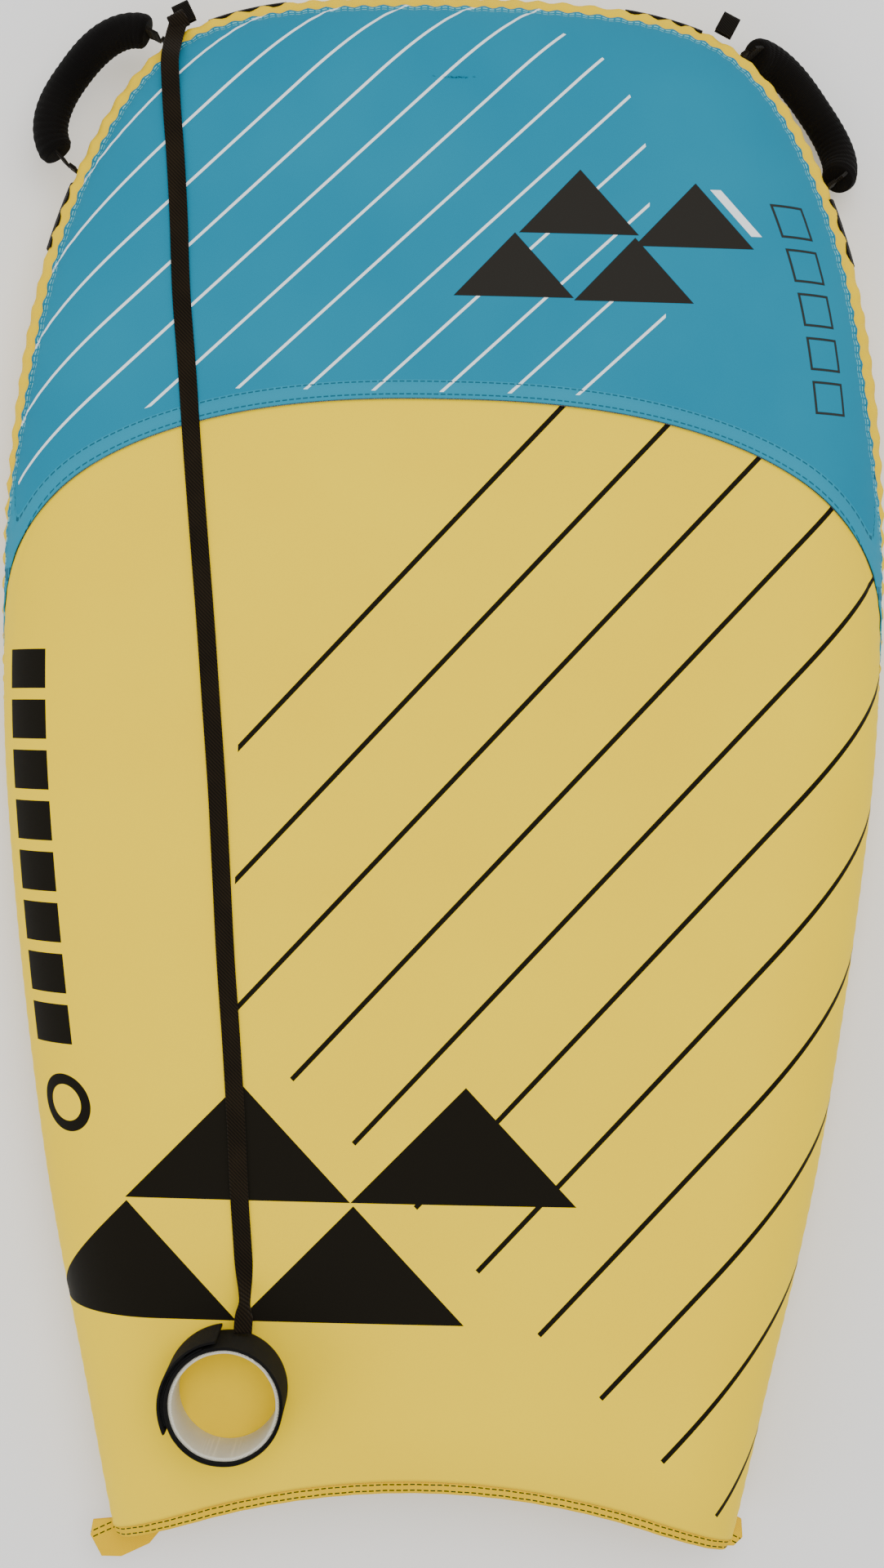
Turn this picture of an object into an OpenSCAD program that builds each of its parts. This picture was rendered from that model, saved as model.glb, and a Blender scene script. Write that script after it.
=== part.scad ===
// Inflatable bodyboard: a sewn fabric cover over an air bladder, with two padded grips, a curved tail zip,
// an inflation valve and a flat webbing leash with a wrist cuff.
// Millimetres. +Z up, nose towards +Y, origin on the ground under the middle of the board.

/* [Board] */
// Length from the nose to the tail corners
board_l = 1060; // [1000:5:1120]
// Width across the rails
board_w = 594; // [560:2:630]
// Thickness at the rails
rail_h = 100; // [92:1:108]
// Extra height of the deck along its middle
deck_crown = 12; // [4:1:16]
// How far the upper rail curve reaches inwards
rail_round = 64; // [56:1:68]
// How far the lower rail curve reaches inwards
keel_round = 50; // [44:1:56]
// How far the nose lifts off the ground
nose_lift = 18; // [0:1:24]
// How much thinner the nose is than the tail
nose_thinning = 16; // [0:1:20]

/* [Tail] */
// Radius of the hollow tail
tail_r = 505; // [480:5:540]
// Depth of the hollow tail at its middle
tail_hollow = 70; // [66:1:74]

/* [Cover] */
// Thickness of the cover fabric
fabric_t = 1; // [0.8:0.1:1.2]
// Distance from the tail corners forward to the middle of the nose panel's hem
hem_top = 784; // [760:2:800]
// How far the hem falls back towards the rails
hem_fall = 165; // [120:5:180]

/* [Grips] */
// Distance along the rail between the two sewn ends of a grip
grip_along = 107; // [102:1:112]
// How far a grip's middle stands out from its sewn ends
grip_reach = 41; // [38:1:48]
// Outer radius of a grip's sleeve
grip_r = 12; // [11:0.1:12.5]
// Droop of the right grip, which hangs free
right_droop = 45; // [30:1:50]

/* [Leash] */
// Width of the leash webbing
leash_w = 12; // [10:0.5:14]
// Thickness of the leash webbing
leash_t = 1.6; // [1.2:0.1:2]
// Inner radius of the wrist cuff
cuff_r = 33; // [31:0.5:36]
// Height of the wrist cuff
cuff_h = 50; // [40:1:55]

/* [Hidden] */
$fn = 64;
gap = 0.3;                       // clearance between pieces that only touch
half_l = board_l / 2;
half_w = board_w / 2;
half_h = rail_h / 2;
tail_y = -half_l + tail_hollow + 2;  // middle of the tail edge; the tape outside it ends at -half_l
tail_c = tail_y - tail_r;        // centre of the tail's arc
hem_y = -half_l + hem_top;
film_t = 0.6;                    // bladder film
film_in = 3.2;                   // bladder's outer face, in from the cover's outer face
film_tail = 12;                  // bladder's tail face, forward of the tail edge
seam_low = -8;                   // rail angle of the deck seam behind the nose
seam_high = 30;                  // rail angle of the deck seam round the nose
keel_seam = -52;                 // rail angle of the lower seam

// ---- Outline -------------------------------------------------------------------------------------------

// Half outline from the nose's middle back to the tail corner, as shares of half the width and length
outline_shares = [[0, 1], [0.47, 0.98], [0.72, 0.9], [0.897, 0.71], [0.983, 0.47], [1, 0.15],
    [0.97, -0.11], [0.882, -0.48], [0.768, -0.79], [0.69, -1], [0.62, -1.2]];

function share_pt(i) =
    i < 0 ? [-outline_shares[-i][0], outline_shares[-i][1]]
    : outline_shares[min(i, len(outline_shares) - 1)];

function catmull(p, q, r, s, u) =
    0.5 * (2 * q + (r - p) * u + (2 * p - 5 * q + 4 * r - s) * u * u + (3 * q - p - 3 * r + s) * u * u * u);

steps = 12;
outline = [for (i = [0 : len(outline_shares) - 2], k = [0 : steps - 1])
    let (c = catmull(share_pt(i - 1), share_pt(i), share_pt(i + 1), share_pt(i + 2), k / steps))
    [c[0] * half_w, c[1] * half_l]];
outline_s = [for (i = 0, s = 0; i < len(outline);
    s = s + (i + 1 < len(outline) ? norm(outline[i + 1] - outline[i]) : 0), i = i + 1) s];
outline_x = [for (i = [0 : len(outline) - 1]) [outline_s[i], outline[i][0]]];
outline_y = [for (i = [0 : len(outline) - 1]) [outline_s[i], outline[i][1]]];

// Point of the outline at a signed distance s from the nose's middle, negative on the left
function edge_pt(s) = [sign(s) * lookup(abs(s), outline_x), lookup(abs(s), outline_y)];

// Unit vector that points inwards from the outline
function inward(s) =
    let (d = edge_pt(s + 4) - edge_pt(s - 4), n = [d[1], -d[0]])
    n / norm(n);

// ---- Height of the body --------------------------------------------------------------------------------

function ramp(u) = let (c = min(max(u, 0), 1)) c * c * (3 - 2 * c);
function nose_share(y) = min(max((y - 0.28 * half_l) / (0.72 * half_l), 0), 1);
function half_thick(y) = half_h - nose_thinning / 2 * ramp(nose_share(y));
function lift(y) = nose_lift * pow(nose_share(y), 2);
function mid_z(y) = half_thick(y) + lift(y);
function crown(x, y) = deck_crown * max(0, 1 - pow(x / (half_w + 3), 2)) * (1 - pow(y / (half_l + 30), 4));
function tail_edge_y(x, ahead = 0) = tail_c + sqrt(pow(tail_r + ahead, 2) - x * x);
function tail_dip(x, y) = 8 * pow(1 - min(max((y - tail_edge_y(x)) / 40, 0), 1), 2);
function hem_edge_y(x) =
    hem_y - hem_fall * (1 - pow(max(0, 1 - pow(min(abs(x) / half_w, 1), 2.4)), 1 / 2.4));

// Point at rail angle t (0 at the widest line, 90 on the deck, -90 underneath), inset o from the outer face
function rail_pt(s, t, o) =
    let (a = t >= 0 ? rail_round : keel_round,
        p = edge_pt(s) + inward(s) * (a - (a - o) * cos(t)),
        h = half_thick(p[1]) + (t >= 0 ? crown(p[0], p[1]) - tail_dip(p[0], p[1]) : -tail_dip(p[0], p[1]) / 2))
    [p[0], p[1], mid_z(p[1]) + (h - o) * sin(t)];

function deck_pt(x, y, o) = [x, y, mid_z(y) + half_thick(y) + crown(x, y) - tail_dip(x, y) - o];
function keel_pt(x, y, o) = [x, y, lift(y) + tail_dip(x, y) / 2 + o];

// Rail angle of the seam between the deck and the side panel
function seam_t(s) = seam_high + (seam_low - seam_high) * ramp((abs(s) - 430) / 270);

// ---- Panels: grids of points between two edges that cross the board ------------------------------------

// Distance s at which the line at rail angle t crosses an edge: 0 is the tail edge, 1 the hem
function edge_gap(s, t, o, edge, ahead) =
    let (p = rail_pt(s, t, o)) p[1] - (edge == 0 ? tail_edge_y(p[0], ahead) : hem_edge_y(p[0]) + ahead);
function crossing(t0, t1, k, o, edge, ahead, lo, hi, n = 22) =
    let (m = (lo + hi) / 2)
    n == 0 ? m
    : edge_gap(m, ring_t(t0, t1, k, m), o, edge, ahead) > 0
        ? crossing(t0, t1, k, o, edge, ahead, m, hi, n - 1)
        : crossing(t0, t1, k, o, edge, ahead, lo, m, n - 1);

// Rail angle of ring k (0 to 1) between a first angle, which may be the seam's, and a last one
function ring_t(t0, t1, k, s) = (t0 == "seam" ? seam_t(s) + 0.5 : t0) * (1 - k) + t1 * k;

// One row of a deck-like or keel-like panel, from the left seam across to the right seam
function panel_row(sa, sb, u, t0, t1, rings, cols, o, shape, fade) =
    let (s_in = sa[rings] * (1 - u) + sb[rings] * u,
        corner = rail_pt(s_in, t1, o),
        side = [for (k = [0 : rings])
            let (s = sa[k] * (1 - u) + sb[k] * u)
            rail_pt(s, ring_t(t0, t1, k / rings, s), o)],
        inner = [for (c = [1 : cols - 1])
            let (x = corner[0] * (1 - 2 * c / cols),
                y = corner[1] + row_rise(x, corner[0], u, shape, fade))
            t1 > 0 ? deck_pt(-x, y, o) : keel_pt(-x, y, o)])
    concat([for (p = side) [-p[0], p[1], p[2]]], inner, [for (k = [rings : -1 : 0]) side[k]]);

// How far a row's inner points stand ahead of its ends: the tail's arc fades into the hem's arch, or to nothing
function row_rise(x, end_x, u, shape, fade) =
    let (tail = tail_edge_y(x) - tail_edge_y(end_x), hem = hem_edge_y(x) - hem_edge_y(end_x))
    shape == "tail_to_hem" ? tail * (1 - u) + hem * u
    : shape == "hem_to_nose" ? hem * pow(1 - u, fade)
    : tail * pow(1 - u, fade);

function panel_grid(t0, t1, rings, rows, cols, o, from, to, shape, fade = 3, ahead = 0) =
    let (top_s = outline_s[len(outline_s) - 1] - 6,
        sa = [for (k = [0 : rings]) crossing(t0, t1, k / rings, o, from, ahead, 60, top_s)],
        sb = [for (k = [0 : rings]) to == 2 ? 0 : crossing(t0, t1, k / rings, o, to, -0.5, 60, top_s)])
    [for (r = [0 : rows]) panel_row(sa, sb, r / rows, t0, t1, rings, cols, o, shape, fade)];

// Closed solid between two equal grids of points; the last row is left open where it closes on itself
module skin(outer, inner, closed_end = false) {
    m = len(outer);
    n = len(outer[0]);
    pts = concat([for (r = outer, p = r) p], [for (r = inner, p = r) p]);
    off = m * n;
    function quad(a, b, c, d) = [[a, b, c], [a, c, d]];
    faces = concat(
        [for (i = [0 : m - 2], j = [0 : n - 2], f = quad(i * n + j, (i + 1) * n + j, (i + 1) * n + j + 1, i * n + j + 1)) f],
        [for (i = [0 : m - 2], j = [0 : n - 2],
            f = quad(off + i * n + j, off + i * n + j + 1, off + (i + 1) * n + j + 1, off + (i + 1) * n + j)) f],
        [for (i = [0 : m - 2], f = quad(i * n, off + i * n, off + (i + 1) * n, (i + 1) * n)) f],
        [for (i = [0 : m - 2], f = quad(i * n + n - 1, (i + 1) * n + n - 1, off + (i + 1) * n + n - 1, off + i * n + n - 1)) f],
        [for (j = [0 : n - 2], f = quad(j, j + 1, off + j + 1, off + j)) f],
        closed_end ? [] : [for (j = [0 : n - 2],
            f = quad((m - 1) * n + j, off + (m - 1) * n + j, off + (m - 1) * n + j + 1, (m - 1) * n + j + 1)) f]);
    polyhedron(points = pts, faces = faces, convexity = 8);
}

module deck_panel() {
    color("gold")
    skin(panel_grid("seam", 90, 6, 22, 10, 0, 0, 1, "tail_to_hem"),
        panel_grid("seam", 90, 6, 22, 10, fabric_t, 0, 1, "tail_to_hem"));
}

module nose_panel() {
    color("steelblue")
    skin(panel_grid("seam", 90, 6, 22, 10, 0, 1, 2, "hem_to_nose"),
        panel_grid("seam", 90, 6, 22, 10, fabric_t, 1, 2, "hem_to_nose"), true);
}

// Strip of fabric round both rails and the nose
module side_panel() {
    n = 84;
    bands = 4;
    top_s = outline_s[len(outline_s) - 1] - 6;
    function strip(o) =
        let (ends = [for (k = [0 : bands]) crossing(keel_seam, seam_low - 0.6, k / bands, o, 0, 0, 60, top_s)])
        [for (i = [0 : n]) [for (k = [0 : bands])
            let (s = ends[k] * (2 * i / n - 1), t = keel_seam + (seam_t(s) - 0.6 - keel_seam) * k / bands)
            rail_pt(s, t, o)]];
    color("gold") skin(strip(fabric_t), strip(0));
}

module bottom_panel() {
    color("teal")
    skin(panel_grid(keel_seam - 1.2, -90, 3, 26, 8, fabric_t, 0, 2, "tail_to_nose", 4),
        panel_grid(keel_seam - 1.2, -90, 3, 26, 8, 0, 0, 2, "tail_to_nose", 4), true);
}

module bladder_top_film() {
    color("whitesmoke")
    skin(panel_grid(0.5, 90, 4, 24, 8, film_in, 0, 2, "tail_to_nose", 4, film_tail),
        panel_grid(0.5, 90, 4, 24, 8, film_in + film_t, 0, 2, "tail_to_nose", 4, film_tail), true);
}

module bladder_bottom_film() {
    color("whitesmoke")
    skin(panel_grid(-0.5, -90, 4, 24, 8, film_in + film_t, 0, 2, "tail_to_nose", 4, film_tail),
        panel_grid(-0.5, -90, 4, 24, 8, film_in, 0, 2, "tail_to_nose", 4, film_tail), true);
}

// ---- Tail wall, bladder tail face and webs -------------------------------------------------------------

// Cross-section of the body along the tail's arc, inset o, as points in x and z
function tail_section(o, ahead) =
    let (top_s = outline_s[len(outline_s) - 1] - 6,
        half = [for (t = [-90 : 10 : 90])
            let (s = crossing(t, t, 0, o, 0, ahead, 60, top_s), p = rail_pt(s, t, o)) [p[0], p[2]]],
        top_x = half[len(half) - 1][0],
        low_x = half[0][0],
        top = [for (c = [1 : 7])
            let (x = top_x * (1 - c / 4), p = deck_pt(x, tail_edge_y(x, ahead), o)) [p[0], p[2]]],
        low = [for (c = [1 : 7])
            let (x = -low_x * (1 - c / 4), p = keel_pt(x, tail_edge_y(x, ahead), o)) [p[0], p[2]]])
    concat(half, top, [for (i = [len(half) - 1 : -1 : 0]) [-half[i][0], half[i][1]]], low);

// Wall that follows the tail's arc, from r to r + t ahead of the tail edge
module tail_wall(ahead, t, o) {
    intersection() {
        rotate([90, 0, 0])
            linear_extrude(height = half_l)
                polygon(tail_section(o, ahead));
        translate([0, tail_c, 0])
            rotate([0, 0, 60])
                rotate_extrude(angle = 60, $fn = 200)
                    translate([tail_r + ahead, -5]) square([t, rail_h + 40]);
    }
}

// Places its children on the tail's arc: x along it, -y out of the board
module on_tail(angle, z) {
    translate([0, tail_c, z]) rotate([0, 0, -angle]) translate([0, tail_r, 0]) children();
}

zip_z = half_h + 2;      // height of the zip's slit
zip_from = -19.5;        // zip's ends, as angles along the tail's arc
zip_to = 7.5;
valve_at = 14.5;         // valve, as an angle along the tail's arc
valve_z = half_h + 2;

// Stretch of the tail's arc between two angles, swept from a rectangle: y ahead of the tail edge, z above zip_z
module tail_arc(from, to, y0, y1, z0, z1) {
    translate([0, tail_c, zip_z])
        rotate([0, 0, 90 - to])
            rotate_extrude(angle = to - from, $fn = 200)
                translate([tail_r + y0, z0]) square([y1 - y0, z1 - z0]);
}

module tail_panel() {
    color("gold")
    difference() {
        tail_wall(2, fabric_t, fabric_t + gap + 0.7);
        tail_arc(zip_from - 0.1, zip_to + 0.1, 1, 4, -6, 6);
        on_tail(valve_at, valve_z) rotate([90, 0, 0]) cylinder(r = 22, h = 20, center = true);
    }
}

module bladder_tail_film() {
    color("whitesmoke")
    difference() {
        tail_wall(film_tail, film_t, film_in + film_t + gap + 0.9);
        on_tail(valve_at, valve_z) rotate([90, 0, 0]) cylinder(r = 15.4, h = 40, center = true);
    }
}

// Upright ties that hold the deck and the bottom film at their distance
module bladder_webs() {
    web_t = 0.8;
    reach = film_in + film_t + gap + 0.4;
    module web(x, y0, y1) {
        n = 14;
        ys = [for (i = [0 : n]) y0 + (y1 - y0) * i / n];
        pts = concat([for (y = ys) [y, keel_pt(x, y, reach)[2]]],
            [for (i = [n : -1 : 0]) [ys[i], deck_pt(x, ys[i], reach + 0.4)[2]]]);
        translate([x - web_t / 2, 0, 0])
        rotate([90, 0, 90])
        linear_extrude(height = web_t)
            difference() {
                polygon(pts);
                for (y = [y0 + 70 : (y1 - y0 - 140) / 4 : y1 - 60]) translate([y, half_h + 4]) circle(r = 14);
            }
    }
    color("gainsboro")
    for (side = [-1, 1]) {
        web(side * 62, tail_y + 45, half_l - 110);
        web(side * 160, tail_y + 45, half_l - 170);
    }
}

// ---- Strips swept along a path -------------------------------------------------------------------------

// Closed solid through equal rings of points
module loft(rings) {
    m = len(rings);
    n = len(rings[0]);
    polyhedron(points = [for (r = rings, p = r) p],
        faces = concat(
            [[for (j = [0 : n - 1]) j]],
            [[for (j = [n - 1 : -1 : 0]) (m - 1) * n + j]],
            [for (i = [0 : m - 2], j = [0 : n - 1], f = [
                [i * n + j, (i + 1) * n + j, (i + 1) * n + (j + 1) % n],
                [i * n + j, (i + 1) * n + (j + 1) % n, i * n + (j + 1) % n]]) f]),
        convexity = 8);
}

function unit(v) = v / norm(v);

// Tape folded over the seam at the tail's upper or lower edge
module tail_binding(upper) {
    tape_w = 8;
    tape_t = 2.4;
    top_s = outline_s[len(outline_s) - 1] - 6;
    t_end = upper ? 4 : keel_seam + 4;
    side_t = upper ? [t_end : 12.3 : 90] : [t_end : -9.3 : -90];
    half = [for (t = side_t)
        let (s = crossing(t, t, 0, 0, 0, 0, 60, top_s)) rail_pt(s, t, 1.4)];
    x_end = half[len(half) - 1][0];
    mid = [for (c = [1 : 11])
        let (x = x_end * (1 - c / 6), y = tail_edge_y(x)) upper ? deck_pt(x, y, 1.4) : keel_pt(x, y, 1.4)];
    path = concat(half, mid, [for (i = [len(half) - 1 : -1 : 0]) [-half[i][0], half[i][1], half[i][2]]]);
    n = len(path);
    color("gold")
    loft([for (i = [0 : n - 1])
        let (p = [path[i][0], tail_edge_y(path[i][0]), path[i][2]],
            d = unit(path[min(i + 1, n - 1)] - path[max(i - 1, 0)]),
            out = unit([-p[0], tail_c - p[1], 0]),
            up = unit(cross(out, d)) * (upper ? 1 : -1))
        [for (c = [[0.4, -1], [tape_w, -1], [tape_w, 1], [0.4, 1]]) p + out * c[0] + up * (c[1] * tape_t / 2)]]);
}
module tail_binding_upper() { tail_binding(true); }
module tail_binding_lower() { tail_binding(false); }

// Where the tail's arc meets the left rail
tail_corner = [-0.692 * half_w, tail_edge_y(0.692 * half_w)];
ear_z = 40;
ear_t = 3;

// Gathered ends of the seams beyond the tail's corners, as outlines about the left corner
module tail_ear(points) {
    translate([tail_corner[0], tail_corner[1], ear_z]) linear_extrude(height = ear_t) polygon(points);
}
module tail_ear_left() {
    tip = -half_l - tail_corner[1];
    color("gold") tail_ear([[33, 10], [15.5, 3.6], [1.5, -1.8], [-20, -4], [-21.5, -14], [-13.5, tip], [0, tip],
        [19, -19], [31, -4]]);
}
module tail_ear_right() {
    color("gold") mirror([1, 0, 0])
        tail_ear([[-8, 8], [-12, 6], [-13, -6], [-7, -12], [2, -12], [4, -4], [-4.5, -3]]);
}

// ---- Valve ---------------------------------------------------------------------------------------------

module valve_part() { on_tail(valve_at, valve_z) rotate([90, 0, 0]) children(); }
// Inside valve_part, z runs out of the board and is 0 at the tail edge

module valve_port_ring() {
    color("black") valve_part() difference() {
        translate([0, 0, -1]) cylinder(r = 26, h = 1.8);
        translate([0, 0, -5]) cylinder(r = 21.5, h = 10);
    }
}

module valve_base() {
    color("dimgray") valve_part() difference() {
        union() {
            translate([0, 0, -film_tail + 0.9]) cylinder(r = 25, h = 2);
            translate([0, 0, -34]) cylinder(r = 15, h = 35.5);
        }
        translate([0, 0, -40]) cylinder(r = 12, h = 50);
    }
}

module valve_seal() {
    color("black") valve_part()
        rotate_extrude() translate([13.2, 2.3]) circle(r = 0.65, $fn = 24);
}

module valve_insert() {
    color("gray") valve_part() difference() {
        union() {
            translate([0, 0, -28]) cylinder(r = 11.8, h = 31.5);
            translate([0, 0, 3.1]) cylinder(r = 14.5, h = 3.4);
            for (a = [0 : 60 : 300]) rotate([0, 0, a]) translate([14, -1.5, 3.1]) cube([2.2, 3, 3.4]);
        }
        translate([0, 0, -24]) cylinder(r = 8, h = 40);
        translate([0, 0, 3]) cylinder(r = 10.2, h = 5);
        difference() {
            translate([0, 0, -30]) cylinder(r = 6.5, h = 40);
            for (a = [0, 90]) rotate([0, 0, a]) translate([-7, -1.2, -27.5]) cube([14, 2.4, 2]);
        }
        translate([0, 0, -30]) cylinder(r = 1.8, h = 8);
    }
}

module valve_membrane() {
    color("white") valve_part() union() {
        translate([0, 0, -29.8]) cylinder(r = 9, h = 1.4);
        translate([0, 0, -28.4]) cylinder(r = 1.4, h = 4);
    }
}

cap_z = 6.9;
module valve_cap() {
    color("gray") valve_part() difference() {
        union() {
            translate([0, 0, cap_z]) cylinder(r = 14, h = 3);
            translate([0, 0, cap_z - 3.6]) cylinder(r = 8.3, h = 3.6);
            translate([10, -4, cap_z]) cube([8, 8, 1.8]);
        }
        translate([0, 0, cap_z + 1.6]) cylinder(r = 10, h = 2);
    }
}

module valve_tether() {
    color("dimgray") valve_part() {
        difference() {
            translate([0, 0, -2.2]) cylinder(r = 18.2, h = 1.6);
            translate([0, 0, -3]) cylinder(r = 15.3, h = 3);
        }
        translate([-20.6, -3.5, -2.2]) cube([3.4, 7, 1.6]);
        translate([-20.6, -3.5, -2.2]) cube([1.6, 7, 10.6]);
        translate([-20.6, -3.5, 6.9]) cube([6, 7, 1.5]);
    }
}

// ---- Zip -----------------------------------------------------------------------------------------------

slit = 1.2;
tape_h = 13;
module zip_tape_upper() { color("darkslategray") tail_arc(zip_from, zip_to, 0.9, 1.7, slit / 2, tape_h); }
module zip_tape_lower() { color("darkslategray") tail_arc(zip_from, zip_to, 0.9, 1.7, -tape_h, -slit / 2); }

module zip_teeth(side) {
    pitch = 0.34;
    color("darkslategray")
    for (a = [zip_from + 1 + (side > 0 ? 0 : pitch / 2) : pitch : zip_to - 1])
        on_tail(a, zip_z) translate([-0.6, 2, side > 0 ? slit / 2 : -slit / 2 - 3]) cube([1.2, 1.8, 3]);
}
module zip_teeth_upper() { zip_teeth(1); }
module zip_teeth_lower() { zip_teeth(-1); }

module zip_end_stops() {
    color("silver")
    for (a = [zip_from + 0.35, zip_to - 0.35])
        on_tail(a, zip_z) difference() {
            translate([-1.2, -0.4, -5]) cube([2.4, 4.8, 10]);
            for (z = [-6, 0.4]) translate([-2, 0.6, z]) cube([4, 1.4, 5.6]);
        }
}

slider_at = zip_from + 1.35;
module zip_slider() {
    color("silver") on_tail(slider_at, zip_z) {
        translate([-6, -1.8, -4.5]) cube([12, 2.3, 9]);
        translate([-4, 0.4, -0.4]) cube([8, 4.2, 0.8]);
        translate([-6, 4.4, -4]) cube([12, 1.4, 8]);
        for (z = [-3.6, 2.6]) translate([-1.2, -5, z]) cube([2.4, 3.3, 1]);
        translate([0, -4.2, -3.6]) cylinder(r = 0.7, h = 7.2, $fn = 32);
    }
}

module zip_puller() {
    color("silver") on_tail(slider_at, zip_z) translate([0, -4.2, 0]) difference() {
        union() {
            translate([0, 0, -2.3]) cylinder(r = 1.9, h = 4.6, $fn = 32);
            translate([0, -0.8, -2.3]) cube([9, 1.6, 4.6]);
            translate([8, -0.8, -3.5]) cube([18, 1.6, 7]);
        }
        translate([0, 0, -5]) cylinder(r = 0.8, h = 10, $fn = 32);
        translate([21, 0, 0]) rotate([90, 0, 0]) cylinder(r = 2, h = 5, center = true, $fn = 32);
    }
}

// ---- Grips ---------------------------------------------------------------------------------------------

grip_z = mid_z(0.87 * half_l) + 4;
grip_s = 198;                              // front sewn end, as a distance along the outline
grip_front = edge_pt(grip_s);
grip_rear = edge_pt(grip_s + grip_along);
grip_span = norm(grip_rear - grip_front);
grip_dir = unit(grip_rear - grip_front);
grip_out = [-grip_dir[1], grip_dir[0]];    // out of the rail
strap_w = 18;
strap_t = 1.8;

// Webbing sewn along the rail on either side of a grip, and the two folds that the grip hangs from
module anchor_webbing() {
    function strip(s0, s1, o) = [for (i = [0 : 8]) [for (t = [-4 : 6.5 : 22]) rail_pt(s0 + (s1 - s0) * i / 8, t, o)]];
    skin(strip(grip_s - 84, grip_s - 30, -gap - strap_t), strip(grip_s - 84, grip_s - 30, -gap));
    skin(strip(grip_s + grip_along + 10, grip_s + grip_along + 56, -gap - strap_t),
        strip(grip_s + grip_along + 10, grip_s + grip_along + 56, -gap));
    for (x = [0, grip_span])
        translate([grip_front[0], grip_front[1], grip_z])
        rotate([0, 0, atan2(grip_dir[1], grip_dir[0])])
            translate([x - 1.2, 1.3, -6]) cube([2.4, 5, 12]);
}
module left_anchor_webbing() { color("black") mirror([1, 0, 0]) anchor_webbing(); }
module right_anchor_webbing() { color("black") anchor_webbing(); }

// Grip in its own frame: x from its front end to its rear end, y out of the rail
module place_grip(droop) {
    translate([grip_front[0] + grip_out[0], grip_front[1] + grip_out[1], grip_z])
    rotate([0, 0, atan2(grip_dir[1], grip_dir[0])])
    rotate([-droop, 0, 0])
        children();
}

// Centre line of a grip, a flattened half ellipse
function grip_pt(u) = let (a = 180 * u) [grip_span / 2 * (1 - sign(cos(a)) * pow(abs(cos(a)), 0.8)),
    grip_reach * pow(sin(a), 0.72), 0];
function grip_tan(u) = unit(grip_pt(min(u + 0.02, 1)) - grip_pt(max(u - 0.02, 0)));
function grip_section(u, pts) =
    let (p = grip_pt(u), d = grip_tan(u), side = cross([0, 0, 1], d))
    [for (q = pts) p + side * q[0] + [0, 0, q[1]]];
function round_pts(r, n) = [for (i = [0 : n - 1]) [r * cos(360 * i / n), r * sin(360 * i / n)]];

grip_from = 0.1;
grip_to = 0.9;
module grip_sleeve() {
    n = 16;
    sides = 14;
    function tube(r) = [for (i = [0 : n]) grip_section(grip_from + (grip_to - grip_from) * i / n,
        concat(round_pts(r, sides), [[r, 0]]))];
    outer = tube(grip_r);
    inner = tube(grip_r - 0.8);
    skin_tube(outer, inner);
}

// Open-ended tube between two stacks of closed rings
module skin_tube(outer, inner) {
    m = len(outer);
    n = len(outer[0]) - 1;
    function ix(layer, i, j) = (layer * m + i) * n + j % n;
    pts = concat([for (r = outer, j = [0 : n - 1]) r[j]], [for (r = inner, j = [0 : n - 1]) r[j]]);
    function quad(a, b, c, d) = [[a, b, c], [a, c, d]];
    polyhedron(points = pts, faces = concat(
        [for (i = [0 : m - 2], j = [0 : n - 1], f = quad(ix(0, i, j), ix(0, i + 1, j), ix(0, i + 1, j + 1), ix(0, i, j + 1))) f],
        [for (i = [0 : m - 2], j = [0 : n - 1], f = quad(ix(1, i, j), ix(1, i, j + 1), ix(1, i + 1, j + 1), ix(1, i + 1, j))) f],
        [for (j = [0 : n - 1], f = quad(ix(0, 0, j), ix(0, 0, j + 1), ix(1, 0, j + 1), ix(1, 0, j))) f],
        [for (j = [0 : n - 1], f = quad(ix(0, m - 1, j), ix(1, m - 1, j), ix(1, m - 1, j + 1), ix(0, m - 1, j + 1))) f]),
        convexity = 8);
}

// Foam halves inside and outside the webbing within the sleeve
module grip_pad() {
    n = 14;
    r = grip_r - 1.4;
    a0 = asin((strap_t / 2 + 0.2) / r);
    for (side = [-90, 90])
        loft([for (i = [0 : n])
            grip_section(grip_from + 0.01 + (grip_to - grip_from - 0.02) * i / n,
                [for (k = [0 : 7])
                    let (a = side + a0 + (180 - 2 * a0) * k / 7) [r * cos(a), r * sin(a)]])]);
}

module grip_webbing() {
    n = 26;
    w = min(strap_w / 2, grip_r - 1.4);
    loft([for (i = [0 : n]) grip_section(0.035 + 0.93 * i / n,
        [[strap_t / 2, w], [-strap_t / 2, w], [-strap_t / 2, -w], [strap_t / 2, -w]])]);
}

module left_grip(droop = 4) { mirror([1, 0, 0]) place_grip(droop) children(); }
module left_grip_sleeve() { color("black") left_grip() grip_sleeve(); }
module left_grip_pad() { color("dimgray") left_grip() grip_pad(); }
module left_grip_webbing() { color("black") left_grip() grip_webbing(); }
module right_grip_sleeve() { color("black") place_grip(right_droop) grip_sleeve(); }
module right_grip_pad() { color("dimgray") place_grip(right_droop) grip_pad(); }
module right_grip_webbing() { color("black") place_grip(right_droop) grip_webbing(); }

// Small loop of webbing for the leash, sewn ahead of a grip's front end
module leash_tab() {
    tab_s = 181;
    p = edge_pt(tab_s);
    n = inward(tab_s);
    translate([p[0] - n[0] * 3, p[1] - n[1] * 3, grip_z + 9])
    rotate([0, 0, atan2(-n[1], -n[0])])
    rotate([90, 0, 0])
    linear_extrude(height = leash_w, center = true)
        difference() {
            union() {
                square([11, 6.4]);
                translate([11, 3.2]) circle(r = 3.2);
            }
            translate([-1, 1.4]) square([12, 3.6]);
            translate([11, 3.2]) circle(r = 1.8);
        }
}
module left_leash_tab() { color("black") mirror([1, 0, 0]) leash_tab(); }
module right_leash_tab() { color("black") leash_tab(); }

// ---- Leash and cuff ------------------------------------------------------------------------------------

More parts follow.
